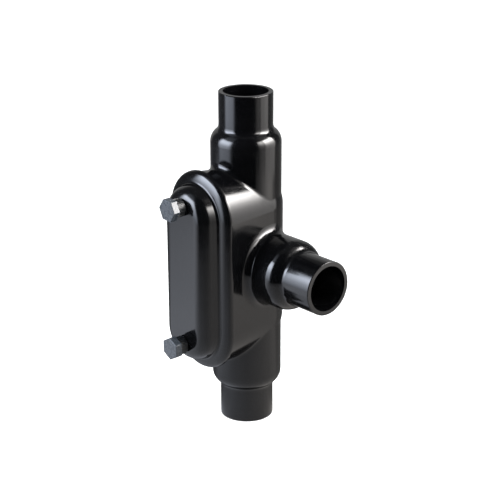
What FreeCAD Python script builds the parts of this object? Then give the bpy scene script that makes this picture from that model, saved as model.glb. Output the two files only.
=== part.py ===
import FreeCAD
import Part
import math
import os

# T-type conduit body for 3/4 in conduit: an iron casting in a thick black jacket whose three sleeves
# stand out past the hubs, closed by a domed oblong cover on a gasket and two hex screws with moulded
# heads. Millimetres. The run is along Z, the cover faces -Y, the branch hub faces +X.
# The pieces are drawn about the crossing of the run and branch axes and then lifted, so that the
# part's origin is the centre of the lower sleeve's mouth.

V = FreeCAD.Vector
ORIGIN = V(0, 0, 0)
ALONG_X = V(1, 0, 0)
ALONG_Y = V(0, 1, 0)
ALONG_Z = V(0, 0, 1)
on_plane = 0.01            # how near a plane an edge's middle counts as on it
on_surface = 0.2           # the same for a round surface

# Reach of the fitting
run_reach = 107.0          # crossing of the axes to the mouth of a run sleeve
branch_reach = 73.1        # crossing of the axes to the mouth of the branch sleeve

# Jacket
coat = 1.6                 # thickness over the casting and over the cover plate
sleeve_bore = 28.0         # grips coated 3/4 in conduit
sleeve_wall = 2.8
sleeve_length = 20.6       # straight outside of a sleeve, mouth to shoulder
mouth_round = 0.5          # outer edge of a sleeve's mouth
hub_diameter = 43.9        # over the jacket
shoulder_round = 9.2       # convex arc from the hub down towards the sleeve
shoulder_root = 4.5        # concave arc that ends on the sleeve
branch_fillet = 5.6        # between the branch hub and the body
end_fillet = 3.6           # between the body's ends and the run hubs

# Body trough, sizes over the jacket
back_radius = 22.9         # half-round back
rim_half_width = 26.9      # at the cover opening
rim_plane = 34.2           # crossing of the axes to the rim
end_centre = 35.7          # crossing of the axes to the centre of each round end

# Casting
trough_wall = 3.2
nose_turn = 66.75          # degrees the iron follows the shoulder round before its flat face
thread_radius = 12.9       # mean of the 3/4 in tapered thread
thread_length = 15.0
thread_chamfer = 0.8
bushing_radius = 10.45     # smooth lip that guards the wires
bushing_length = 3.4
bushing_round = 1.2
passage_radius = 14.6      # between the lip and the trough
boss_radius = 6.2
boss_depth = 16.0          # from the rim
tapped_depth = 14.0
drill_point = 1.9          # cone at the foot of a tapped hole

# Cover, sizes over its jacket
gasket_thickness = 0.8
gasket_inset = 1.4         # from the flange edge
gasket_width = 4.6
flange_overhang = 1.0      # the flange's edge past the rim
flange_side = 0.5          # straight part of the flange's edge
edge_round = 3.4           # from the flange's edge to its crowned front
crown_round = 11.5         # the crowned front, down from the dome
crown_turn = 32.0          # degrees the crown turns through before the edge's round
flange_land = 7.2          # width of the flange beside the dome
dome_slope = 3.05          # how far the dome's sides lean in
face_end_shift = 1.2       # the dome's ends are steeper than its sides
face_plane = 51.7          # crossing of the axes to the dome's flat face
face_round = 8.5
dome_root = 2.0
plate_thickness = 2.0
hollow_round = 0.6         # least round inside the dome

# Cover screws
screw_offset = 8.9         # centre of a round end to its screw
screw_radius = 3.15
screw_clearance = 0.05
screw_hole_radius = 3.6    # through the cover
head_front = 62.8          # crossing of the axes to the front of the moulded head
cap_skin = 0.8             # moulding over the steel head
cap_chamfer = 0.5
collar_radius = 5.6
collar_gap = 0.9           # the dome's face to the collar; the washer shows between them
rib_count = 20
rib_groove_radius = 0.45
bolt_flats = 11.1
bolt_head_height = 3.3
bolt_reach = 22.0          # crossing of the axes to the screw's point
bolt_point = 0.8
washer_radius = 4.5
washer_thickness = 1.6
washer_bed = 0.2           # how deep the washer sits in the cover's coat
screw_turns = {"upper": 21.0, "lower": 1.0}   # a flat's angle from +X towards +Z

sleeve_radius = sleeve_bore / 2 + sleeve_wall
flange_half_width = rim_half_width + flange_overhang
dome_half_width = flange_half_width - flange_land
face_half_width = dome_half_width - dome_slope
screw_centre = end_centre + screw_offset
cover_seat = rim_plane + gasket_thickness
crown_angle = math.radians(crown_turn)
edge_centre = (flange_half_width - edge_round, cover_seat + flange_side)
crown_centre = (edge_centre[0] - (crown_round - edge_round) * math.sin(crown_angle),
                edge_centre[1] - (crown_round - edge_round) * math.cos(crown_angle))
flange_front = crown_centre[1] + crown_round
washer_front = face_plane - washer_bed + washer_thickness
cap_flats = bolt_flats + 2 * cap_skin
cap_back = head_front - bolt_head_height - 2 * cap_skin


def solid_of(shape):
    """The one solid of a shape, with split faces joined."""
    shape = shape.removeSplitter()
    return shape.Solids[0]


def near_edges(shape, test):
    """Edges whose middle passes a test."""
    found = []
    for edge in shape.Edges:
        first, last = edge.ParameterRange
        if test(edge.valueAt((first + last) / 2), edge):
            found.append(edge)
    return found


def revolved(points, axis):
    """A solid turned from (along, radius) steps about an axis through the crossing.

    A step is (along, radius) for a straight run or (along, radius, mid_along, mid_radius) for an arc
    that passes through the middle point.
    """
    across = ALONG_X if axis.z else ALONG_Z

    def place(along, radius):
        return axis * along + across * radius

    edges = []
    last = place(points[0][0], points[0][1])
    for step in points[1:]:
        end = place(step[0], step[1])
        if len(step) == 4:
            edges.append(Part.Arc(last, place(step[2], step[3]), end).toShape())
        else:
            edges.append(Part.makeLine(last, end))
        last = end
    edges.append(Part.makeLine(last, place(points[0][0], points[0][1])))
    return Part.Face(Part.Wire(edges)).revolve(ORIGIN, axis, 360)


def shoulder_turn():
    """Angle that the shoulder's two arcs each turn through."""
    return math.acos(1 - (hub_diameter / 2 - sleeve_radius) / (shoulder_round + shoulder_root))


def shoulder_start(reach):
    """Distance along a hub's axis where its shoulder begins."""
    return reach - sleeve_length - (shoulder_round + shoulder_root) * math.sin(shoulder_turn())


def hub_face(reach):
    """Distance along a hub's axis of the iron's flat face."""
    return shoulder_start(reach) + (shoulder_round - coat) * math.sin(math.radians(nose_turn))


def jacket_hub(reach, axis):
    """Outside of one jacketed hub and its sleeve, from the crossing to the mouth."""
    hub_radius = hub_diameter / 2
    start = shoulder_start(reach)
    turn = shoulder_turn()
    half = turn / 2
    knee = (start + shoulder_round * math.sin(turn),
            hub_radius - shoulder_round * (1 - math.cos(turn)))
    upper_mid = (start + shoulder_round * math.sin(half),
                 hub_radius - shoulder_round * (1 - math.cos(half)))
    root = (reach - sleeve_length, sleeve_radius)
    lower_mid = (root[0] - shoulder_root * math.sin(half),
                 sleeve_radius + shoulder_root * (1 - math.cos(half)))
    corner = mouth_round * (1 - math.sqrt(0.5))
    return revolved([
        (0, 0),
        (0, hub_radius),
        (start, hub_radius),
        knee + upper_mid,
        root + lower_mid,
        (reach - mouth_round, sleeve_radius),
        (reach, sleeve_radius - mouth_round, reach - corner, sleeve_radius - corner),
        (reach, 0),
    ], axis)


def casting_hub(reach, axis):
    """Outside of one iron hub: the jacket's hub less the coat, with a flat face."""
    hub_radius = hub_diameter / 2 - coat
    start = shoulder_start(reach)
    arc = shoulder_round - coat
    turn = math.radians(nose_turn)
    centre = hub_radius - arc
    return revolved([
        (0, 0),
        (0, hub_radius),
        (start, hub_radius),
        (hub_face(reach), centre + arc * math.cos(turn),
         start + arc * math.sin(turn / 2), centre + arc * math.cos(turn / 2)),
        (hub_face(reach), 0),
    ], axis)


def trough_profile(radius, half_width, depth):
    """Half of the trough's section at Z = 0: half-round back, drafted side, flat front."""
    lean = math.atan2(depth, half_width)
    turn = math.acos(radius / math.hypot(half_width, depth)) - lean
    tangent = V(radius * math.cos(turn), radius * math.sin(turn), 0)
    between = (turn + math.pi / 2) / 2
    middle = V(radius * math.cos(between), radius * math.sin(between), 0)
    return [
        Part.Arc(V(0, radius, 0), middle, tangent).toShape(),
        Part.makeLine(tangent, V(half_width, -depth, 0)),
        Part.makeLine(V(half_width, -depth, 0), V(0, -depth, 0)),
        Part.makeLine(V(0, -depth, 0), V(0, radius, 0)),
    ]


def oblong_sweep(half_section):
    """A half section at Z = 0 carried round an oblong: a straight middle between two turned ends."""
    face = Part.Face(Part.Wire(half_section))
    end = face.revolve(ORIGIN, ALONG_Y, 360)
    half = face.extrude(V(0, 0, 2 * end_centre)).translated(V(0, 0, -end_centre))
    middle = half.fuse(half.mirror(ORIGIN, ALONG_X))
    ends = [end.translated(V(0, 0, side * end_centre)) for side in (-1, 1)]
    return middle.fuse(ends).removeSplitter()


def trough(radius, half_width, depth):
    """The trough as a solid."""
    return oblong_sweep(trough_profile(radius, half_width, depth))


def is_branch_joint(point, radius):
    """True on the line where the branch hub meets the body."""
    reach = math.hypot(point.y, point.z)
    return abs(reach - radius) < on_surface and 1 < point.x < rim_half_width


def is_end_joint(point, edge, radius):
    """True on the lines where the body's ends meet the run hubs."""
    reach = math.hypot(point.x, point.y)
    past_end = end_centre < abs(point.z) < end_centre + rim_half_width
    ends = edge.Vertexes
    span = ends[0].Point.distanceToPoint(ends[-1].Point)
    return abs(reach - radius) < on_surface and past_end and edge.Length > span + on_plane


def envelope(inset, hub_maker):
    """The body's outside with its hubs, blended; inset is the coat that is left off."""
    hub_radius = hub_diameter / 2 - inset
    body = trough(back_radius - inset, rim_half_width - inset, rim_plane)
    hubs = [
        hub_maker(run_reach, ALONG_Z),
        hub_maker(run_reach, ALONG_Z).mirror(ORIGIN, ALONG_Z),
        hub_maker(branch_reach, ALONG_X),
    ]
    whole = body.fuse(hubs).removeSplitter()
    branch = near_edges(whole, lambda point, edge: is_branch_joint(point, hub_radius))
    whole = whole.makeFillet(branch_fillet + inset, branch)
    ends = near_edges(whole, lambda point, edge: is_end_joint(point, edge, hub_radius))
    return whole.makeFillet(end_fillet + inset, ends)


def drilled_hub(reach, axis):
    """The hollow of one hub: thread, smooth bushing lip and the passage to the trough."""
    face = hub_face(reach)
    thread_end = face - thread_length
    lip_end = thread_end - bushing_length
    corner = bushing_round * (1 - math.sqrt(0.5))
    mouth = thread_radius + thread_chamfer
    return revolved([
        (0, 0),
        (0, passage_radius),
        (lip_end, passage_radius),
        (lip_end, bushing_radius + bushing_round),
        (lip_end + bushing_round, bushing_radius, lip_end + corner, bushing_radius + corner),
        (thread_end - bushing_round, bushing_radius),
        (thread_end, bushing_radius + bushing_round, thread_end - corner, bushing_radius + corner),
        (thread_end, thread_radius),
        (face - thread_chamfer, thread_radius),
        (face, mouth),
        (face + 1, mouth),
        (face + 1, 0),
    ], axis)


def on_both_ends(shape):
    """A shape and its mirror image across the branch axis."""
    return [shape, shape.mirror(ORIGIN, ALONG_Z)]


def screw_boss():
    """The post at the upper end of the trough that the cover screw threads into."""
    post = Part.makeCylinder(boss_radius, boss_depth, V(0, -rim_plane, screw_centre), ALONG_Y)
    web = Part.makeBox(2 * boss_radius, boss_depth, rim_half_width,
                       V(-boss_radius, -rim_plane, screw_centre))
    return post.fuse(web)


def tapped_hole():
    """The hole in the upper boss, with a drill point."""
    hole_radius = screw_radius + screw_clearance
    start = V(0, -rim_plane - 1, screw_centre)
    bore = Part.makeCylinder(hole_radius, tapped_depth + 1, start, ALONG_Y)
    tip = Part.makeCone(hole_radius, 0, drill_point,
                        V(0, tapped_depth - rim_plane, screw_centre), ALONG_Y)
    return bore.fuse(tip)


def body_casting(iron):
    """The casting: the iron envelope hollowed to a trough with three tapped hubs and two bosses."""
    inset = coat + trough_wall
    hollow = trough(back_radius - inset, rim_half_width - inset, rim_plane)
    hollow = hollow.cut(on_both_ends(screw_boss()))
    hubs = on_both_ends(drilled_hub(run_reach, ALONG_Z)) + [drilled_hub(branch_reach, ALONG_X)]
    casting = iron.cut(hollow).cut(hubs)
    return solid_of(casting.cut(on_both_ends(tapped_hole())))


def body_jacket(iron):
    """The jacket: everything between its own outside and the iron, with the sleeves bored."""
    depth = run_reach - hub_face(run_reach) + 1
    bore = Part.makeCylinder(sleeve_bore / 2, depth, V(0, 0, hub_face(run_reach)))
    branch = Part.makeCylinder(sleeve_bore / 2, depth, V(hub_face(branch_reach), 0, 0), ALONG_X)
    jacket = envelope(0, jacket_hub).cut(iron)
    return solid_of(jacket.cut(on_both_ends(bore) + [branch]))


def oblong(half_width, centre, plane):
    """A flat oblong wire facing the cover side, at a plane in front of the crossing."""
    left = V(-half_width, -plane, 0)
    right = V(half_width, -plane, 0)
    up = V(0, 0, centre)
    top = V(0, -plane, centre + half_width)
    bottom = V(0, -plane, -centre - half_width)
    return Part.Wire([
        Part.makeLine(right - up, right + up),
        Part.Arc(right + up, top, left + up).toShape(),
        Part.makeLine(left + up, left - up),
        Part.Arc(left - up, bottom, right - up).toShape(),
    ])


def oblong_slab(half_width, plane, thickness):
    """An oblong slab whose back lies on a plane and whose front is nearer the viewer."""
    face = Part.Face(oblong(half_width, end_centre, plane))
    return face.extrude(V(0, -thickness, 0))


def dome(inset, root_plane):
    """The dome's tapered block, less an inset all round; it starts at the given plane."""
    front = face_plane - inset
    lean = (dome_half_width - face_half_width) / (face_plane - flange_front)
    spread = lean * (flange_front - root_plane)
    shift = face_end_shift / (face_plane - flange_front)
    base = oblong(dome_half_width - inset + spread,
                  end_centre - shift * (flange_front - root_plane), root_plane)
    top = oblong(face_half_width - inset + lean * inset,
                 end_centre + face_end_shift - shift * inset, front)
    block = Part.makeLoft([base, top], True, True)
    rim = near_edges(block, lambda point, edge: abs(point.y + front) < on_plane)
    return block.makeFillet(max(face_round - inset, hollow_round), rim)


def oblong_reach(point):
    """How far a point stands out from the line between the centres of the round ends."""
    return math.hypot(point.x, max(abs(point.z) - end_centre, 0))


def is_dome_root(point):
    """True on the line where the dome rises from the flange's front."""
    at_foot = abs(oblong_reach(point) - dome_half_width) < on_surface
    return at_foot and abs(point.y + flange_front) < on_surface


def at_tilt(centre, radius, tilt):
    """A point on an arc of the flange's section, where its surface leans outwards by tilt."""
    return V(centre[0] + radius * math.sin(tilt), -centre[1] - radius * math.cos(tilt), 0)


def flange(inset):
    """The crowned flange round the dome's foot, less an inset all round its front."""
    crown = crown_round - inset
    edge = edge_round - inset
    between = (crown_angle + math.pi / 2) / 2
    top = at_tilt(crown_centre, crown, 0)
    knee = at_tilt(edge_centre, edge, crown_angle)
    side = at_tilt(edge_centre, edge, math.pi / 2)
    foot = V(side.x, -cover_seat, 0)
    middle = V(0, -cover_seat, 0)
    summit = V(0, top.y, 0)
    return oblong_sweep([
        Part.makeLine(middle, foot),
        Part.makeLine(foot, side),
        Part.Arc(side, at_tilt(edge_centre, edge, between), knee).toShape(),
        Part.Arc(knee, at_tilt(crown_centre, crown, crown_angle / 2), top).toShape(),
        Part.makeLine(top, summit),
        Part.makeLine(summit, middle),
    ])


def cover_envelope(inset):
    """The cover's outside: flange and dome; inset leaves off the coat."""
    whole = flange(inset).fuse(dome(inset, cover_seat)).removeSplitter()
    if inset:
        return whole
    root = near_edges(whole, lambda point, edge: is_dome_root(point))
    return whole.makeFillet(dome_root, root)


def cover_hole():
    """The clearance hole for the upper screw."""
    return Part.makeCylinder(screw_hole_radius, face_plane, V(0, -face_plane - 1, screw_centre),
                             ALONG_Y)


def cover_plate():
    """The cover's metal, open behind the dome."""
    plate = cover_envelope(coat)
    plate = plate.cut(dome(coat + plate_thickness, cover_seat - 1))
    return solid_of(plate.cut(on_both_ends(cover_hole())))


def cover_jacket():
    """The coat over the cover's front and edge, with a shallow bed for each washer."""
    jacket = cover_envelope(0).cut(cover_envelope(coat))
    bed = Part.makeCylinder(washer_radius + screw_clearance, washer_bed + 1,
                            V(0, washer_bed - face_plane, screw_centre), V(0, -1, 0))
    return solid_of(jacket.cut(on_both_ends(cover_hole()) + on_both_ends(bed)))


def gasket():
    """The flat ring between the casting's rim and the cover."""
    outer = oblong_slab(flange_half_width - gasket_inset, rim_plane, gasket_thickness)
    inner = oblong_slab(flange_half_width - gasket_inset - gasket_width, rim_plane,
                        gasket_thickness)
    return solid_of(outer.cut(inner))


def hex_block(flats, back, front, turn):
    """A hexagonal block about the upper screw's axis; turn sets one flat's angle from +X."""
    corner = flats / math.sqrt(3)
    points = []
    for index in range(7):
        angle = math.radians(turn + 30 + 60 * index)
        points.append(V(corner * math.cos(angle), -back, corner * math.sin(angle) + screw_centre))
    return Part.Face(Part.makePolygon(points)).extrude(V(0, back - front, 0))


def spindle(points):
    """A solid turned about the upper screw's axis from (forward, radius) points."""
    place = [V(radius, -forward, screw_centre) for forward, radius in points]
    face = Part.Face(Part.makePolygon(place + [place[0]]))
    return face.revolve(V(0, 0, screw_centre), ALONG_Y, 360)


def screw_bolt(turn):
    """The steel screw: hexagon head inside the moulding, plain shank, pointed end."""
    head_back = cap_back + cap_skin
    shank = spindle([
        (bolt_reach, 0),
        (bolt_reach, screw_radius - bolt_point),
        (bolt_reach + bolt_point, screw_radius),
        (head_back + bolt_head_height / 2, screw_radius),
        (head_back + bolt_head_height / 2, 0),
    ])
    head = hex_block(bolt_flats, head_back, head_back + bolt_head_height, turn)
    return solid_of(shank.fuse(head))


def screw_cap(turn, bolt):
    """The moulded head: hexagon with a chamfered front and a ribbed collar behind it."""
    hexagon = hex_block(cap_flats, cap_back, head_front, turn)
    corner = cap_flats / math.sqrt(3)
    tip = spindle([
        (cap_back - 1, 0),
        (cap_back - 1, corner + 1),
        (head_front - cap_chamfer, corner),
        (head_front, corner - 2 * cap_chamfer),
        (head_front, 0),
    ])
    collar_back = face_plane + collar_gap
    collar = Part.makeCylinder(collar_radius, cap_back - collar_back,
                               V(0, -collar_back, screw_centre), V(0, -1, 0))
    grooves = []
    for index in range(rib_count):
        angle = 2 * math.pi * index / rib_count
        start = V(collar_radius * math.cos(angle), -collar_back,
                  collar_radius * math.sin(angle) + screw_centre)
        grooves.append(Part.makeCylinder(rib_groove_radius, cap_back - collar_back, start,
                                         V(0, -1, 0)))
    recess = Part.makeCylinder(washer_radius, washer_front - collar_back,
                               V(0, -collar_back, screw_centre), V(0, -1, 0))
    cap = hexagon.common(tip).fuse(collar.cut(grooves)).cut(recess)
    return solid_of(cap.cut(bolt))


def screw_washer():
    """The sealing washer under the upper collar."""
    back = V(0, washer_bed - face_plane, screw_centre)
    ring = Part.makeCylinder(washer_radius, washer_thickness, back, V(0, -1, 0))
    hole = Part.makeCylinder(screw_radius + screw_clearance, washer_thickness, back, V(0, -1, 0))
    return solid_of(ring.cut(hole))


def lower_of(shape):
    """The upper screw's piece moved to the lower screw."""
    return shape.translated(V(0, 0, -2 * screw_centre))


def build():
    """Every piece by its node name, about the crossing of the axes."""
    iron = envelope(coat, casting_hub)
    pieces = {
        "body_casting": body_casting(iron),
        "body_jacket": body_jacket(iron),
        "cover_plate": cover_plate(),
        "cover_jacket": cover_jacket(),
        "cover_gasket": gasket(),
    }
    for end, turn in screw_turns.items():
        bolt = screw_bolt(turn)
        cap = screw_cap(turn, bolt)
        washer = screw_washer()
        if end == "lower":
            bolt, cap, washer = lower_of(bolt), lower_of(cap), lower_of(washer)
        pieces["screw_bolt_" + end] = bolt
        pieces["screw_cap_" + end] = cap
        pieces["screw_washer_" + end] = washer
    return pieces


os.makedirs("parts", exist_ok=True)
for name, piece in build().items():
    placed = piece.translated(V(0, 0, run_reach))
    placed.exportStep("parts/" + name + ".step")
    print(name, "valid" if placed.isValid() else "NOT VALID", len(placed.Solids), "solids",
          round(placed.Volume, 1), "mm3")
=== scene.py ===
"""Dresses the jacketed T conduit body: finishes, hub threads, studio and camera."""

import logging
import math
from dataclasses import dataclass, field
from enum import Enum

import bmesh
import bpy
from mathutils import Matrix, Vector

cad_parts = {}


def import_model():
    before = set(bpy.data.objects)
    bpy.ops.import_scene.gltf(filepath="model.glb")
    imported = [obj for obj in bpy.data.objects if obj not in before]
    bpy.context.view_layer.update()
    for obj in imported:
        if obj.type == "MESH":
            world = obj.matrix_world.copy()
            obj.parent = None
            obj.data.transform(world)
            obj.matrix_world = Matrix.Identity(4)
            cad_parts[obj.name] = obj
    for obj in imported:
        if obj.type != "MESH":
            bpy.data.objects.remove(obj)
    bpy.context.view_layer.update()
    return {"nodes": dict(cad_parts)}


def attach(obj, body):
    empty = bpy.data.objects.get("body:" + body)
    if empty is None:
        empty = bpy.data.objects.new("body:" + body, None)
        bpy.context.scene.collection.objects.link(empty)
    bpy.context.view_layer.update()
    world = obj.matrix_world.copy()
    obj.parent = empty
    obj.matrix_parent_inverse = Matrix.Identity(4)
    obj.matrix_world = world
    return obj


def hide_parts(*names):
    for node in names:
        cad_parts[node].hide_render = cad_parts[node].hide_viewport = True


LOG = logging.getLogger("conduit_body")
MM = 0.001
CARD_TOP = 1.5          # height in metres of the studio's upright cards and of the canopy
BOUNCES = (1.2, 1.8)    # counts of glossy bounces, past the first and short of the second
LEVEL_NORMAL = 0.1      # a face whose normal has less of Z than this stands upright
WHITE = (1.0, 1.0, 1.0)

Triple = tuple[float, float, float]
Levels = tuple[tuple[float, float], ...]
Stops = tuple[tuple[float, Triple], ...]
Socket = bpy.types.NodeSocket


class Turn(Enum):
    """The way a hub's axis points."""

    UP = (0.0, 0.0, 1.0)
    DOWN = (0.0, 0.0, -1.0)
    BRANCH = (1.0, 0.0, 0.0)


@dataclass(frozen=True)
class Grain:
    """A noise: its cells in each metre, its octaves and the strength of the finer ones."""

    scale: float
    octaves: float
    strength: float = 0.5


class NodeGraph:
    """A node tree under construction and a few ways to add to it."""

    def __init__(self, tree: bpy.types.NodeTree) -> None:
        """Empties a node tree.

        Args:
            tree: The tree to build in.
        """
        self.tree = tree
        self.tree.nodes.clear()

    def add(self, kind: str, **settings: object) -> bpy.types.Node:
        """Adds one node.

        Args:
            kind: The node's type name.
            **settings: Properties set on the node.

        Returns:
            The new node.
        """
        node = self.tree.nodes.new(kind)
        for key, value in settings.items():
            setattr(node, key, value)
        return node

    def link(self, source: Socket, target: Socket) -> None:
        """Joins an output socket to an input socket."""
        self.tree.links.new(source, target)

    def feed(self, value: Socket | Triple | float, target: Socket) -> None:
        """Gives an input socket its value.

        Args:
            value: An output socket, which is linked, or a colour or a number, which is set.
            target: The input socket.
        """
        if isinstance(value, bpy.types.NodeSocket):
            self.link(value, target)
        elif isinstance(value, tuple):
            target.default_value = (*value, 1.0)
        else:
            target.default_value = value

    def math(self, operation: str, *inputs: Socket | float) -> Socket:
        """Adds a Math node.

        Args:
            operation: The node's operation.
            *inputs: Numbers, or sockets to link.

        Returns:
            The result's socket.
        """
        node = self.add("ShaderNodeMath", operation=operation)
        for index, value in enumerate(inputs):
            self.feed(value, node.inputs[index])
        return node.outputs[0]

    def place(self) -> Socket:
        """The object's own coordinates."""
        return self.add("ShaderNodeTexCoord").outputs["Object"]

    def along(self, direction: Triple) -> Socket:
        """How far a point lies along a direction, on the object's own coordinates.

        Args:
            direction: A unit vector.

        Returns:
            The distance's socket.
        """
        dot = self.add("ShaderNodeVectorMath", operation="DOT_PRODUCT")
        self.link(self.place(), dot.inputs[0])
        dot.inputs[1].default_value = direction
        return dot.outputs["Value"]

    def distance(self, point: Triple) -> Socket:
        """How far away a point lies, on the object's own coordinates.

        Args:
            point: The point.

        Returns:
            The distance's socket.
        """
        gap = self.add("ShaderNodeVectorMath", operation="DISTANCE")
        self.link(self.place(), gap.inputs[0])
        gap.inputs[1].default_value = point
        return gap.outputs["Value"]

    def noise(self, grain: Grain) -> Socket:
        """Adds a noise on the object's own coordinates.

        Args:
            grain: The noise's values.

        Returns:
            The noise's value socket.
        """
        noise = self.add("ShaderNodeTexNoise")
        noise.inputs["Scale"].default_value = grain.scale
        noise.inputs["Detail"].default_value = grain.octaves
        noise.inputs["Roughness"].default_value = grain.strength
        self.link(self.place(), noise.inputs["Vector"])
        return noise.outputs["Fac"]

    def spread(self, value: Socket, low: float, high: float,
               start: float = 0.35, end: float = 0.65) -> Socket:
        """Maps a socket's values to another range.

        Args:
            value: The socket to map.
            low: Result at the start.
            high: Result at the end.
            start: Value that gives low.
            end: Value that gives high.

        Returns:
            The mapped socket.
        """
        node = self.add("ShaderNodeMapRange")
        self.link(value, node.inputs["Value"])
        for key, number in (("From Min", start), ("From Max", end),
                            ("To Min", low), ("To Max", high)):
            node.inputs[key].default_value = number
        return node.outputs["Result"]

    def ramp(self, value: Socket, stops: Stops) -> Socket:
        """Adds a colour ramp.

        Args:
            value: The socket that runs along the ramp.
            stops: Places and colours.

        Returns:
            The colour socket.
        """
        node = self.add("ShaderNodeValToRGB")
        band = node.color_ramp
        while len(band.elements) < len(stops):
            band.elements.new(0.5)
        for element, (place, colour) in zip(band.elements, stops):
            element.position = place
            element.color = (*colour, 1.0)
        self.link(value, node.inputs["Fac"])
        return node.outputs["Color"]

    def blend(self, share: Socket, first: Socket | Triple, second: Socket | Triple) -> Socket:
        """Mixes two colours.

        Args:
            share: The second colour's share.
            first: The colour at a share of 0.
            second: The colour at a share of 1.

        Returns:
            The mixed colour's socket.
        """
        node = self.add("ShaderNodeMix", data_type="RGBA")
        self.link(share, node.inputs["Factor"])
        self.feed(first, node.inputs["A"])
        self.feed(second, node.inputs["B"])
        return node.outputs["Result"]

    def bump(self, height: Socket, distance: float, below: Socket | None = None) -> Socket:
        """Adds a bump.

        Args:
            height: The height socket, about 0 to 1.
            distance: Height in metres of a step from 0 to 1.
            below: A normal that this bump is added to.

        Returns:
            The normal socket.
        """
        node = self.add("ShaderNodeBump")
        node.inputs["Distance"].default_value = distance
        self.link(height, node.inputs["Height"])
        if below is not None:
            self.link(below, node.inputs["Normal"])
        return node.outputs["Normal"]

    def lit(self, kind: str, colour: Socket | Triple, strength: Socket | float) -> Socket:
        """Adds a shader that gives light.

        Args:
            kind: The shader's type name.
            colour: The light's colour.
            strength: The light's strength.

        Returns:
            The shader's socket.
        """
        shader = self.add(kind)
        self.feed(colour, shader.inputs["Color"])
        self.feed(strength, shader.inputs["Strength"])
        return shader.outputs[0]

    def looked_at(self) -> Socket:
        """Tells the rays that look at things from the ones that light them.

        Returns:
            A socket that is 1 for camera, glossy and transmission rays and 0 for the others.
        """
        rays = self.add("ShaderNodeLightPath")
        seen = self.math("MAXIMUM", rays.outputs["Is Camera Ray"], rays.outputs["Is Glossy Ray"])
        return self.math("MAXIMUM", seen, rays.outputs["Is Transmission Ray"])

    def first_gloss(self, value: Socket | float, share: float = 0.12) -> Socket:
        """Keeps a glow for the first glossy bounce and dims it for the later ones.

        Args:
            value: The glow's strength.
            share: What is left of it from the second bounce on.

        Returns:
            The strength's socket.
        """
        count = self.add("ShaderNodeLightPath").outputs["Glossy Depth"]
        return self.math("MULTIPLY", value, self.spread(count, 1.0, share, *BOUNCES))


class NodeMaterial(NodeGraph):
    """A material under construction."""

    def __init__(self, name: str) -> None:
        """Starts an empty material.

        Args:
            name: The material's name.
        """
        self.material = bpy.data.materials.new(name)
        self.material.use_nodes = True
        super().__init__(self.material.node_tree)
        self.output = self.add("ShaderNodeOutputMaterial")

    def principled(self, colour: Socket, roughness: Socket, normal: Socket,
                   **constants: float) -> bpy.types.Material:
        """Ends the material with a Principled surface.

        Args:
            colour: The base colour.
            roughness: The roughness.
            normal: The normal.
            **constants: Other inputs by name.

        Returns:
            The finished material.
        """
        shader = self.add("ShaderNodeBsdfPrincipled")
        self.link(colour, shader.inputs["Base Color"])
        self.link(roughness, shader.inputs["Roughness"])
        self.link(normal, shader.inputs["Normal"])
        for key, value in constants.items():
            shader.inputs[key].default_value = value
        self.link(shader.outputs["BSDF"], self.output.inputs["Surface"])
        return self.material

    def glow(self, colour: Socket | Triple, strength: Socket | float) -> bpy.types.Material:
        """Ends the material with a plain glow.

        Args:
            colour: The glow's colour.
            strength: The glow's strength.

        Returns:
            The finished material.
        """
        light = self.lit("ShaderNodeEmission", colour, strength)
        self.link(light, self.output.inputs["Surface"])
        return self.material


@dataclass(frozen=True)
class Finish:
    """A finish whose colour drifts between two tones, from a noise's value to another."""

    name: str = ""
    dark: Triple = (0.0, 0.0, 0.0)
    light: Triple = WHITE
    drift: tuple[float, float] = (0.35, 0.65)

    def tones(self, make: NodeMaterial, noise: Socket) -> Socket:
        """Colours a noise with the two tones.

        Args:
            make: The material's nodes.
            noise: The noise.

        Returns:
            The colour's socket.
        """
        start, end = self.drift
        return make.ramp(noise, ((start, self.dark), (end, self.light)))


@dataclass(frozen=True)
class GlossCoat(Finish):
    """Thick dipped coating: glossy, faintly wavy, with a fine orange peel."""

    name: str = "jacket_gloss_black"
    dark: Triple = (0.0012, 0.0013, 0.0016)
    light: Triple = (0.0028, 0.0029, 0.0034)
    drift: tuple[float, float] = (0.35, 0.68)
    cloud: Grain = Grain(26.0, 3.0)
    streak: Grain = Grain(120.0, 4.0, 0.6)
    roughness: tuple[float, float] = (0.105, 0.165)
    wave: Grain = Grain(55.0, 1.0)
    wave_height: float = 0.085 * MM
    peel: Grain = Grain(900.0, 2.0)
    peel_height: float = 0.0022 * MM
    ior: float = 1.5
    run_outs: tuple[Triple, ...] = (
        (0.0, 22.9 * MM, 71.3 * MM), (0.0, 22.9 * MM, 142.7 * MM))
    run_out_reach: tuple[float, float] = (1.6 * MM, 2.1 * MM)
    backwards: Triple = (0.0, 1.0, 0.0)

    def run_out_normal(self, make: NodeMaterial, normal: Socket) -> Socket:
        """Faces the coat straight back at the two points where the hubs' blends run out.

        Args:
            make: The material's nodes.
            normal: The coat's normal elsewhere.

        Returns:
            The normal's socket.
        """
        gap = make.math("MINIMUM", *(make.distance(point) for point in self.run_outs))
        near = make.spread(gap, 1.0, 0.0, *self.run_out_reach)
        even = make.add("ShaderNodeVectorMath", operation="NORMALIZE")
        make.link(make.blend(near, normal, self.backwards), even.inputs[0])
        return even.outputs["Vector"]

    def build(self) -> bpy.types.Material:
        """Makes the material.

        Returns:
            The finished material.
        """
        make = NodeMaterial(self.name)
        colour = self.tones(make, make.noise(self.cloud))
        roughness = make.spread(make.noise(self.streak), *self.roughness)
        wave = make.bump(make.noise(self.wave), self.wave_height)
        peel = make.bump(make.noise(self.peel), self.peel_height, wave)
        return make.principled(colour, roughness, self.run_out_normal(make, peel), IOR=self.ior)


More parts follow.
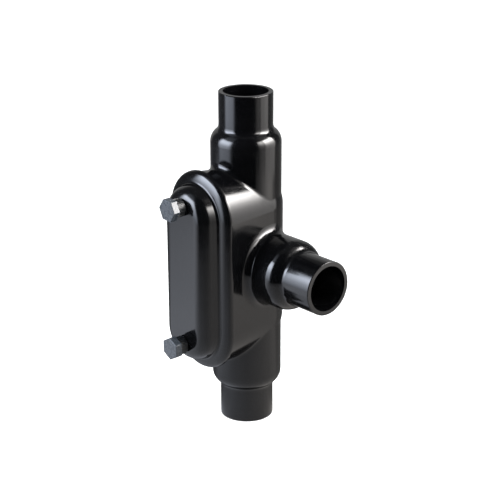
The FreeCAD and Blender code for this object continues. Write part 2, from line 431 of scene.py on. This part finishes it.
@dataclass(frozen=True)
class MouldedCap(Finish):
    """Moulded plastic of the screw heads: satin pale hexagon, duller collar with painted shade.
    """

    name: str = "cap_satin_black"
    dark: Triple = (0.026, 0.031, 0.038)
    light: Triple = (0.046, 0.053, 0.063)
    drift: tuple[float, float] = (0.32, 0.70)
    # painted shade: the collar behind the hexagon gets this darker colour in place of the
    # plastic's tones
    collar_painted_shade: Triple = (0.006, 0.007, 0.008)
    collar_shade_from: float = 57.8 * MM
    collar_shade_edge: float = 0.15 * MM
    grain: Grain = Grain(420.0, 4.0, 0.6)
    satin: tuple[float, float] = (0.22, 0.34)
    dulling: float = 0.16
    mould: Grain = Grain(1500.0, 3.0)
    mould_height: float = 0.006 * MM

    def build(self) -> bpy.types.Material:
        """Makes the material.

        Returns:
            The finished material.
        """
        make = NodeMaterial(self.name)
        grain = make.noise(self.grain)
        # painted shade: behind the hexagon's back the colour turns to the darker shade tone, and
        # the surface gets rougher
        behind = make.spread(make.along((0.0, -1.0, 0.0)), 1.0, 0.0,
                             self.collar_shade_from - self.collar_shade_edge, self.collar_shade_from + self.collar_shade_edge)
        colour = make.blend(behind, self.tones(make, grain), self.collar_painted_shade)
        roughness = make.math("ADD", make.spread(grain, *self.satin),
                              make.math("MULTIPLY", behind, self.dulling))
        return make.principled(colour, roughness,
                               make.bump(make.noise(self.mould), self.mould_height))


@dataclass(frozen=True)
class CastIron(Finish):
    """Zinc-coated casting: grey metal with a sandy skin and cloudy darker patches."""

    name: str = "casting_zinc_grey"
    dark: Triple = (0.105, 0.110, 0.112)
    light: Triple = (0.300, 0.305, 0.300)
    drift: tuple[float, float] = (0.30, 0.70)
    cloud: Grain = Grain(90.0, 5.0, 0.6)
    sand: Grain = Grain(1100.0, 5.0, 0.62)
    sand_height: float = 0.12 * MM
    roughness: tuple[float, float] = (0.42, 0.68)
    metallic: float = 0.75

    def build(self) -> bpy.types.Material:
        """Makes the material.

        Returns:
            The finished material.
        """
        make = NodeMaterial(self.name)
        sand = make.noise(self.sand)
        colour = self.tones(make, make.noise(self.cloud))
        return make.principled(colour, make.spread(sand, *self.roughness),
                               make.bump(sand, self.sand_height), Metallic=self.metallic)


@dataclass(frozen=True)
class ZincSteel(Finish):
    """Zinc-plated steel: bright, with patches of the plating's crystals."""

    name: str = "steel_zinc_plate"
    dark: Triple = (0.42, 0.43, 0.43)
    light: Triple = (0.66, 0.66, 0.64)
    patches: Grain = Grain(260.0, 3.0, 0.55)
    roughness: tuple[float, float] = (0.24, 0.40)
    grain: Grain = Grain(1400.0, 2.0)
    grain_height: float = 0.02 * MM
    metallic: float = 1.0

    def build(self) -> bpy.types.Material:
        """Makes the material.

        Returns:
            The finished material.
        """
        make = NodeMaterial(self.name)
        patches = make.noise(self.patches)
        return make.principled(self.tones(make, patches), make.spread(patches, *self.roughness),
                               make.bump(make.noise(self.grain), self.grain_height),
                               Metallic=self.metallic)


@dataclass(frozen=True)
class SealRubber(Finish):
    """Soft seal: matte black with a chalky bloom."""

    name: str = "seal_rubber"
    dark: Triple = (0.012, 0.012, 0.012)
    light: Triple = (0.034, 0.034, 0.033)
    drift: tuple[float, float] = (0.35, 0.75)
    bloom: Grain = Grain(300.0, 5.0, 0.6)
    roughness: tuple[float, float] = (0.62, 0.85)
    grain: Grain = Grain(2200.0, 2.0)
    grain_height: float = 0.02 * MM

    def build(self) -> bpy.types.Material:
        """Makes the material.

        Returns:
            The finished material.
        """
        make = NodeMaterial(self.name)
        bloom = make.noise(self.bloom)
        return make.principled(self.tones(make, bloom), make.spread(bloom, *self.roughness),
                               make.bump(make.noise(self.grain), self.grain_height))


@dataclass(frozen=True)
class Finishes:
    """Every finish of the fitting, built once."""

    coat: bpy.types.Material = field(default_factory=lambda: GlossCoat().build())
    cap: bpy.types.Material = field(default_factory=lambda: MouldedCap().build())
    iron: bpy.types.Material = field(default_factory=lambda: CastIron().build())
    steel: bpy.types.Material = field(default_factory=lambda: ZincSteel().build())
    seal: bpy.types.Material = field(default_factory=lambda: SealRubber().build())

    def dress(self, nodes: dict[str, bpy.types.Object]) -> None:
        """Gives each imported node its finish.

        Args:
            nodes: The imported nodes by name.
        """
        by_prefix = {
            "body_casting": self.iron,
            "body_jacket": self.coat,
            "cover_jacket": self.coat,
            "cover_plate": self.steel,
            "cover_gasket": self.seal,
            "screw_bolt": self.steel,
            "screw_cap": self.cap,
            "screw_washer": self.seal,
        }
        for name, node in nodes.items():
            for prefix, finish in by_prefix.items():
                if name.startswith(prefix):
                    node.data.materials.clear()
                    node.data.materials.append(finish)
                    LOG.info("%s wears %s", name, finish.name)


def mesh_object(name: str, mesh: bmesh.types.BMesh,
                finish: bpy.types.Material) -> bpy.types.Object:
    """Turns a bmesh into an object at the origin.

    Args:
        name: The object's name.
        mesh: The bmesh, which is freed.
        finish: The object's material.

    Returns:
        The new object, linked to the scene.
    """
    data = bpy.data.meshes.new(name)
    mesh.to_mesh(data)
    mesh.free()
    data.materials.append(finish)
    piece = bpy.data.objects.new(name, data)
    bpy.context.scene.collection.objects.link(piece)
    return piece


def upright(face: bmesh.types.BMFace) -> bool:
    """Tells whether a face stands upright, its normal level."""
    return abs(face.normal.z) < LEVEL_NORMAL


def smooth(piece: bpy.types.Object, degrees: float) -> None:
    """Shades a piece smooth, apart from the edges that turn by more than some degrees."""
    piece.data.shade_smooth()
    piece.data.set_sharp_from_angle(angle=math.radians(degrees))


@dataclass(frozen=True)
class HubThread:
    """Helical ridge of the pipe thread inside one iron hub.

    The wall is the radius that the ridge stands on. The crest is half the width of its top, and
    the foot share is half the width of its base as a share of the pitch.
    """

    pitch: float = 25.4 * MM / 14
    wall: float = 12.92 * MM
    ridge: float = 0.95 * MM
    crest: float = 0.16 * MM
    foot_share: float = 0.45
    mouth_to_start: float = 25.3 * MM
    length: float = 12.9 * MM
    steps_a_turn: int = 48
    sharp_over: float = 40.0

    def build(self, name: str, turn: Turn, mouth: Vector, finish: bpy.types.Material) -> None:
        """Makes the ridge in a hub.

        Args:
            name: The piece's name.
            turn: The way the hub's axis points.
            mouth: Centre of the hub's sleeve mouth.
            finish: The iron's material.
        """
        mesh = bmesh.new()
        foot = self.foot_share * self.pitch
        section = [mesh.verts.new(place) for place in (
            (self.wall, 0.0, -foot),
            (self.wall - self.ridge, 0.0, -self.crest),
            (self.wall - self.ridge, 0.0, self.crest),
            (self.wall, 0.0, foot),
        )]
        sides = [mesh.edges.new((section[index - 1], section[index])) for index in range(4)]
        turns = self.length / self.pitch
        steps = round(self.steps_a_turn * turns)
        bmesh.ops.spin(mesh, geom=[*section, *sides], cent=(0, 0, 0), axis=(0, 0, 1),
                       dvec=(0.0, 0.0, self.length / steps), angle=2 * math.pi * turns,
                       steps=steps, use_merge=False)
        bmesh.ops.holes_fill(mesh, edges=[edge for edge in mesh.edges if edge.is_boundary])
        bmesh.ops.recalc_face_normals(mesh, faces=mesh.faces)
        bmesh.ops.translate(mesh, verts=mesh.verts,
                            vec=(0.0, 0.0, -self.mouth_to_start - self.length))
        axis = Vector(turn.value)
        matrix = Matrix.Translation(mouth) @ axis.to_track_quat("Z", "Y").to_matrix().to_4x4()
        bmesh.ops.transform(mesh, matrix=matrix, verts=mesh.verts)
        thread = mesh_object(name, mesh, finish)
        smooth(thread, self.sharp_over)
        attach(thread, "root")
        LOG.info("%s: %d faces", name, len(thread.data.polygons))


@dataclass(frozen=True)
class MouldedHead:
    """Plastic moulding of one cover screw: a soft-edged hexagon on a ribbed collar.

    Its front, its back and the collar's back are measured forwards from the run's axis.
    """

    flats: float = 12.7 * MM
    back: float = 57.9 * MM
    front: float = 62.8 * MM
    edge_round: float = 0.45 * MM
    edge_steps: int = 4
    collar_radius: float = 5.45 * MM
    collar_back: float = 52.6 * MM
    collar_lap: float = 0.4 * MM
    ribs: int = 20
    rib_height: float = 0.24 * MM
    rib_side: float = 0.1 * MM
    sharp_over: float = 50.0

    def hexagon(self, mesh: bmesh.types.BMesh) -> None:
        """Adds the hexagon, its axis along Z, its front uppermost and one flat facing X.

        Args:
            mesh: The bmesh to add to, still empty.
        """
        radius = self.flats / math.sqrt(3)
        corners = bmesh.ops.create_cone(mesh, cap_ends=True, cap_tris=False, segments=6,
                                        radius1=radius, radius2=radius,
                                        depth=self.front - self.back)["verts"]
        bmesh.ops.translate(mesh, verts=corners, vec=(0.0, 0.0, (self.front + self.back) / 2))
        flat = next(face for face in mesh.faces if upright(face))
        ahead = math.atan2(flat.normal.y, flat.normal.x)
        bmesh.ops.rotate(mesh, verts=corners, cent=(0, 0, 0),
                         matrix=Matrix.Rotation(-ahead, 3, "Z"))
        bmesh.ops.bevel(mesh, geom=mesh.edges[:], offset=self.edge_round, offset_type="OFFSET",
                        affect="EDGES", segments=self.edge_steps, profile=0.5, material=-1)

    def collar(self, mesh: bmesh.types.BMesh) -> None:
        """Adds the ribbed collar behind the hexagon.

        Args:
            mesh: The bmesh to add to.
        """
        deep = self.back + self.collar_lap - self.collar_back
        ring = bmesh.ops.create_cone(mesh, cap_ends=True, cap_tris=False, segments=2 * self.ribs,
                                     radius1=self.collar_radius, radius2=self.collar_radius,
                                     depth=deep)["verts"]
        bmesh.ops.translate(mesh, verts=ring, vec=(0.0, 0.0, self.collar_back + deep / 2))
        around = [face for face in {face for vert in ring for face in vert.link_faces}
                  if upright(face)]
        around.sort(key=lambda face: math.atan2(face.calc_center_median().y,
                                                face.calc_center_median().x))
        bmesh.ops.inset_individual(mesh, faces=around[::2], thickness=self.rib_side,
                                   depth=self.rib_height)

    def build(self, name: str, node: str, height: float, turn: float,
              finish: bpy.types.Material) -> None:
        """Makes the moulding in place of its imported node.

        Args:
            name: The piece's name.
            node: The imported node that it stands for.
            height: Height of the screw's axis.
            turn: Angle of one flat from the X axis towards the Z axis, in degrees.
            finish: The moulding's material.
        """
        mesh = bmesh.new()
        self.hexagon(mesh)
        self.collar(mesh)
        bmesh.ops.recalc_face_normals(mesh, faces=mesh.faces)
        outward = Vector((0.0, -1.0, 0.0))
        side = Vector((math.cos(math.radians(turn)), 0.0, math.sin(math.radians(turn))))
        basis = Matrix((side, outward.cross(side), outward)).transposed().to_4x4()
        bmesh.ops.transform(mesh, matrix=Matrix.Translation((0.0, 0.0, height)) @ basis,
                            verts=mesh.verts)
        head = mesh_object(name, mesh, finish)
        smooth(head, self.sharp_over)
        even = head.modifiers.new("even_faces", "WEIGHTED_NORMAL")
        even.keep_sharp = True
        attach(head, "root")
        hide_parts(node)
        LOG.info("%s: %d faces", name, len(head.data.polygons))


@dataclass(frozen=True)
class Fitting:
    """The conduit body's added pieces: hub threads and moulded screw heads.

    The run goes from mouth to mouth, and the branch from the run's axis to its mouth. The screws
    stand above and below the middle. Each screw's row has its end, its side and how far its
    hexagon is turned, in degrees.
    """

    run: float = 214.0 * MM
    branch: float = 73.1 * MM
    screw_gap: float = 44.6 * MM
    screw_turns: tuple[tuple[str, float, float], ...] = (
        ("upper", 1.0, 26.0), ("lower", -1.0, 1.0))

    def build(self, finishes: Finishes) -> None:
        """Makes the threads and the moulded heads.

        Args:
            finishes: The fitting's finishes.
        """
        middle = self.run / 2
        thread = HubThread()
        for name, turn, mouth in (("thread_upper", Turn.UP, (0.0, 0.0, self.run)),
                                  ("thread_lower", Turn.DOWN, (0.0, 0.0, 0.0)),
                                  ("thread_branch", Turn.BRANCH, (self.branch, 0.0, middle))):
            thread.build(name, turn, Vector(mouth), finishes.iron)
        head = MouldedHead()
        for end, side, turned in self.screw_turns:
            head.build("moulded_head_" + end, "screw_cap_" + end,
                       middle + side * self.screw_gap, turned, finishes.cap)


def disc(name: str, radius: float, height: float, sides: int,
         finish: bpy.types.Material) -> bpy.types.Object:
    """Makes a level disc about the Z axis.

    Args:
        name: The disc's name.
        radius: Its radius.
        height: Its height.
        sides: Its number of sides.
        finish: Its material.

    Returns:
        The disc.
    """
    mesh = bmesh.new()
    bmesh.ops.create_circle(mesh, cap_ends=True, segments=sides, radius=radius)
    bmesh.ops.translate(mesh, verts=mesh.verts, vec=(0.0, 0.0, height))
    return mesh_object(name, mesh, finish)


def gloss_only(card: bpy.types.Object) -> None:
    """Marks a studio card that only glossy rays see.

    Args:
        card: The card.
    """
    for ray in ("camera", "diffuse", "transmission", "volume_scatter", "shadow"):
        setattr(card, "visible_" + ray, False)


@dataclass(frozen=True)
class Card:
    """Upright curved card that only the object's gloss sees.

    Headings are in degrees from the camera's own heading, as the object sees it, and grow
    anticlockwise from above. Heights and the reach are in metres.
    """

    name: str
    start: float
    end: float
    reach: float
    levels: Levels
    tint: Triple = WHITE
    fade: float = 0.0
    step: float = 3.0

    def finish(self, first: float) -> bpy.types.Material:
        """Makes the card's glow, which follows its levels and fades at its two sides.

        Args:
            first: World angle of the card's first side, in radians.

        Returns:
            The material.
        """
        make = NodeMaterial(self.name)
        top = max(level for _, level in self.levels) or 1.0
        along = make.spread(make.along((0.0, 0.0, 1.0)), 0.0, 1.0, 0.0, CARD_TOP)
        stops = tuple((height / CARD_TOP, tuple(level / top * part for part in self.tint))
                      for height, level in self.levels)
        strength = top
        if self.fade:
            half = (self.end - self.start) / 2
            middle = first + math.radians(half)
            facing = make.along((math.cos(middle), math.sin(middle), 0.0))
            strength = make.spread(facing, 0.0, top, self.reach * math.cos(math.radians(half)),
                                   self.reach * math.cos(math.radians(half - self.fade)))
        return make.glow(make.ramp(along, stops), make.first_gloss(strength))

    def build(self, ahead: float) -> None:
        """Makes the card.

        Args:
            ahead: World angle of the camera's heading, in radians.
        """
        mesh = bmesh.new()
        line = [mesh.verts.new((self.reach, 0.0, height)) for height in (0.0, CARD_TOP)]
        edge = mesh.edges.new(line)
        first = ahead + math.radians(self.start)
        width = self.end - self.start
        bmesh.ops.rotate(mesh, verts=line, cent=(0, 0, 0), matrix=Matrix.Rotation(first, 3, "Z"))
        bmesh.ops.spin(mesh, geom=[*line, edge], cent=(0, 0, 0), axis=(0, 0, 1),
                       angle=math.radians(width), steps=round(width / self.step),
                       use_merge=False)
        gloss_only(mesh_object(self.name, mesh, self.finish(first)))


@dataclass(frozen=True)
class Table:
    """The floor as the gloss sees it: bright by the panels, dim between them and behind.

    Each row of levels holds headings in degrees from the camera's own heading and how bright the
    table is there: close to the object, further out, and at the cards' feet.
    """

    reach: float = 1.2
    height: float = 0.6 * MM
    sides: int = 64
    top: float = 2.4
    later_share: float = 0.45
    near_to_middle: tuple[float, float] = (0.05, 0.20)
    middle_to_far: tuple[float, float] = (0.24, 0.48)
    red_rise: float = 0.05
    blue: float = 1.04
    blue_fall: float = 0.08
    near_levels: Levels = (
        (-180.0, 0.25), (-150.0, 0.08), (-122.0, 0.14), (-100.0, 0.45), (-60.0, 0.80),
        (0.0, 0.60), (60.0, 0.74), (90.0, 0.62), (110.0, 0.34), (130.0, 0.16), (180.0, 0.25))
    middle_levels: Levels = (
        (-180.0, 0.42), (-162.0, 0.35), (-146.0, 0.10), (-125.0, 0.12), (-112.0, 0.42),
        (-100.0, 1.25), (-84.0, 1.60), (-60.0, 1.05), (-40.0, 0.66), (0.0, 0.48), (35.0, 0.62),
        (60.0, 0.72), (83.0, 0.82), (100.0, 0.74), (112.0, 0.30), (150.0, 0.18), (164.0, 0.38),
        (180.0, 0.42))
    far_levels: Levels = (
        (-180.0, 0.42), (-160.0, 0.30), (-143.0, 0.12), (-122.0, 0.12), (-112.0, 0.24),
        (-102.0, 0.66), (-92.0, 1.30), (-80.0, 1.85), (-69.0, 1.75), (-59.0, 1.20),
        (-50.0, 0.45), (-40.0, 0.08), (25.0, 0.06), (36.0, 0.28), (47.0, 0.62), (56.0, 1.20),
        (66.0, 1.70), (77.0, 2.15), (88.0, 1.75), (98.0, 0.60), (108.0, 0.22), (133.0, 0.18),
        (155.0, 0.30), (180.0, 0.42))

    def stops(self, levels: Levels) -> Stops:
        """Turns headings and levels into ramp stops, cool on the left and warm on the right.

        Args:
            levels: Headings in degrees and how bright the table is there.

        Returns:
            Places from 0 to 1 and colours.
        """
        found = []
        for heading, level in levels:
            warmth = math.sin(math.radians(heading))
            part = level / self.top
            found.append(((heading + 180.0) / 360.0,
                          (part * (1.0 + self.red_rise * warmth), part,
                           part * (self.blue - self.blue_fall * warmth))))
        return tuple(found)

    def build(self, ahead: float) -> None:
        """Makes the table.

        Args:
            ahead: World angle of the camera's heading, in radians.
        """
        make = NodeMaterial("table_card")
        side = ahead + math.pi / 2
        forward = make.along((math.cos(ahead), math.sin(ahead), 0.0))
        right = make.along((math.cos(side), math.sin(side), 0.0))
        around = make.spread(make.math("ARCTAN2", right, forward), 0.0, 1.0, -math.pi, math.pi)
        away = make.math("SQRT", make.math("ADD", make.math("MULTIPLY", forward, forward),
                                           make.math("MULTIPLY", right, right)))
        near, middle, far = (make.ramp(around, self.stops(levels)) for levels in
                             (self.near_levels, self.middle_levels, self.far_levels))
        inner = make.blend(make.spread(away, 0.0, 1.0, *self.near_to_middle), near, middle)
        outer = make.blend(make.spread(away, 0.0, 1.0, *self.middle_to_far), inner, far)
        finish = make.glow(outer, make.first_gloss(self.top, self.later_share))
        gloss_only(disc("table_card", self.reach, self.height, self.sides, finish))


@dataclass(frozen=True)
class Lamp:
    """Soft square lamp aimed at the object's middle. The gloss doesn't see it.

    The angle and the rise are in degrees, the reach and the size in metres, the power in watts.
    """

    name: str
    angle: float
    rise: float
    reach: float
    size: float
    power: float
    colour: Triple

    def build(self, ahead: float, aim: Vector) -> None:
        """Makes the lamp.

        Args:
            ahead: World angle of the camera's heading, in radians.
            aim: The object's middle.
        """
        light = bpy.data.lights.new(self.name, "AREA")
        light.shape = "SQUARE"
        light.size = self.size
        light.energy = self.power
        light.color = self.colour
        lamp = bpy.data.objects.new(self.name, light)
        turn, lift = ahead + math.radians(self.angle), math.radians(self.rise)
        away = Vector((math.cos(turn) * math.cos(lift), math.sin(turn) * math.cos(lift),
                       math.sin(lift)))
        lamp.matrix_world = (Matrix.Translation(aim + away * self.reach)
                             @ away.to_track_quat("Z", "Y").to_matrix().to_4x4())
        lamp.visible_glossy = False
        bpy.context.scene.collection.objects.link(lamp)


@dataclass(frozen=True)
class PhotoCamera:
    """Camera where the photograph was taken from: degrees, metres and pixels.

    The sensor's width is in millimetres, as lenses are.
    """

    turn: float = 48.619
    rise: float = 20.459
    roll: float = -0.191
    reach: float = 0.9205
    focal_pixels: float = 1465.42
    centre_x: float = 246.319
    centre_y: float = 256.8
    frame_pixels: float = 500.0
    sensor_width: float = 36.0
    near_limit: float = 0.01

    def ahead(self) -> float:
        """World angle in radians of the camera's heading, as the object sees it."""
        return math.radians(self.turn - 90.0)

    def build(self, aim: Vector) -> None:
        """Makes the camera.

        Args:
            aim: The object's middle.
        """
        turn, rise = math.radians(self.turn), math.radians(self.rise)
        back = Vector((math.sin(turn) * math.cos(rise), -math.cos(turn) * math.cos(rise),
                       math.sin(rise)))
        right = Vector((math.cos(turn), math.sin(turn), 0.0))
        basis = Matrix((right, back.cross(right), back)).transposed().to_4x4()
        basis = basis @ Matrix.Rotation(math.radians(self.roll), 4, "Z")
        lens = bpy.data.cameras.new("camera")
        lens.sensor_width = self.sensor_width
        lens.lens = self.focal_pixels / self.frame_pixels * lens.sensor_width
        lens.shift_x = (self.frame_pixels / 2 - self.centre_x) / self.frame_pixels
        lens.shift_y = (self.centre_y - self.frame_pixels / 2) / self.frame_pixels
        lens.clip_start = self.near_limit
        camera = bpy.data.objects.new("camera", lens)
        camera.matrix_world = Matrix.Translation(aim + back * self.reach) @ basis
        bpy.context.scene.collection.objects.link(camera)
        bpy.context.scene.camera = camera


@dataclass
class Studio:
    """White floor, two soft panels between dark cards, lamps and the camera.

    Each row of a card's levels holds heights in metres and how bright the card is there.
    """

    aim: Vector = field(default_factory=lambda: Vector((0.0, 0.0, 0.107)))
    photo_camera: PhotoCamera = PhotoCamera()
    fill_strength: float = 0.35
    fill_colour: Triple = (0.9, 0.95, 1.0)
    floor_reach: float = 4.0
    floor_sides: int = 64
    floor_colour: Triple = (0.62, 0.62, 0.62)
    floor_glow: float = 0.66
    table_card: Table = Table()
    canopy_sides: int = 48
    canopy_colour: Triple = (0.08, 0.08, 0.08)
    lamps: tuple[Lamp, ...] = (
        Lamp("left_lamp", angle=-72.0, rise=32.0, reach=1.3, size=0.8, power=24.0,
             colour=(0.93, 0.97, 1.0)),
        Lamp("right_lamp", angle=78.0, rise=32.0, reach=1.3, size=0.8, power=24.0,
             colour=(1.0, 0.98, 0.96)),
        Lamp("top_lamp", angle=0.0, rise=88.0, reach=1.5, size=1.2, power=16.0, colour=WHITE),
    )
    left_levels: Levels = (
        (0.0, 1.7), (0.075, 3.2), (0.137, 4.7), (0.188, 5.7), (0.244, 8.2), (0.295, 10.4),
        (0.358, 13.0), (0.424, 14.0), (0.49, 12.5), (0.56, 8.0), (0.61, 1.0), (CARD_TOP, 0.05))
    right_levels: Levels = (
        (0.0, 1.6), (0.06, 1.8), (0.13, 2.4), (0.188, 3.2), (0.24, 4.8), (0.305, 8.5),
        (0.365, 16.0), (0.435, 25.0), (0.52, 35.0), (0.595, 25.0), (0.65, 8.0), (0.70, 0.8),
        (CARD_TOP, 0.05))
    wing_share: float = 0.4
    dark_levels: Levels = ((0.0, 0.0), (CARD_TOP, 0.0))
    left_gap_levels: Levels = ((0.0, 0.12), (0.2, 0.10), (CARD_TOP, 0.05))
    right_gap_levels: Levels = ((0.0, 0.2), (0.2, 0.10), (CARD_TOP, 0.05))
    rear_levels: Levels = ((0.0, 0.42), (0.6, 0.42), (0.8, 0.12), (CARD_TOP, 0.06))
    cool: Triple = (0.92, 1.0, 1.16)
    faintly_cool: Triple = (0.95, 0.98, 1.05)
    warm: Triple = (1.03, 1.0, 0.98)

    def world(self) -> None:
        """White behind the object and in its gloss, a low even fill on its surfaces."""
        world = bpy.data.worlds.new("studio")
        bpy.context.scene.world = world
        world.use_nodes = True
        make = NodeGraph(world.node_tree)
        mix = make.add("ShaderNodeMixShader")
        out = make.add("ShaderNodeOutputWorld")
        make.link(make.looked_at(), mix.inputs[0])
        make.link(make.lit("ShaderNodeBackground", self.fill_colour, self.fill_strength),
                  mix.inputs[1])
        make.link(make.lit("ShaderNodeBackground", WHITE, 1.0), mix.inputs[2])
        make.link(mix.outputs[0], out.inputs["Surface"])

    def floor(self) -> None:
        """A wide pale floor that keeps a faint shadow under the object."""
        make = NodeMaterial("floor_white")
        matte = make.add("ShaderNodeBsdfDiffuse")
        make.feed(self.floor_colour, matte.inputs["Color"])
        glow = make.lit("ShaderNodeEmission", WHITE,
                        make.math("MULTIPLY", make.looked_at(), self.floor_glow))
        both = make.add("ShaderNodeAddShader")
        make.link(matte.outputs[0], both.inputs[0])
        make.link(glow, both.inputs[1])
        make.link(both.outputs[0], make.output.inputs["Surface"])
        floor = disc("floor", self.floor_reach, 0.0, self.floor_sides, make.material)

    def canopy(self) -> None:
        """The dim ceiling that closes the ring of cards."""
        finish = NodeMaterial("canopy_card").glow(self.canopy_colour, 1.0)
        gloss_only(disc("canopy_card", self.table_card.reach, CARD_TOP, self.canopy_sides,
                        finish))

    def cards(self) -> tuple[Card, ...]:
        """Lists the ring of upright cards: two panels, and dark and dim cards between them.

        Returns:
            The cards.
        """
        wing_levels = tuple((height, level * self.wing_share)
                            for height, level in self.right_levels)
        return (
            Card("left_panel", start=-99.0, end=-45.0, reach=0.55, levels=self.left_levels,
                 tint=self.cool, fade=12.0),
            Card("right_panel", start=60.0, end=107.0, reach=0.55, levels=self.right_levels,
                 tint=self.warm, fade=6.0),
            Card("right_wing", start=38.0, end=80.0, reach=0.57, levels=wing_levels,
                 tint=self.warm, fade=14.0),
            Card("front_drape", start=-42.0, end=32.0, reach=0.40, levels=self.dark_levels),
            Card("left_gap", start=-140.0, end=-95.0, reach=0.62, levels=self.left_gap_levels,
                 tint=self.faintly_cool),
            Card("front_gap", start=-60.0, end=60.0, reach=0.62, levels=self.dark_levels),
            Card("right_gap", start=95.0, end=140.0, reach=0.62, levels=self.right_gap_levels),
            Card("rear_wall", start=130.0, end=230.0, reach=0.95, levels=self.rear_levels),
        )

    def build(self) -> None:
        """Sets up the whole studio."""
        ahead = self.photo_camera.ahead()
        self.photo_camera.build(self.aim)
        self.world()
        self.floor()
        for lamp in self.lamps:
            lamp.build(ahead, self.aim)
        self.table_card.build(ahead)
        self.canopy()
        for card in self.cards():
            card.build(ahead)


def main() -> None:
    """Builds the dressed fitting and its studio."""
    logging.basicConfig(level=logging.INFO, format="%(message)s")
    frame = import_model()
    finishes = Finishes()
    finishes.dress(frame["nodes"])
    Fitting().build(finishes)
    Studio().build()
    bpy.context.scene.view_settings.view_transform = "Standard"


if __name__ == "__main__":
    main()
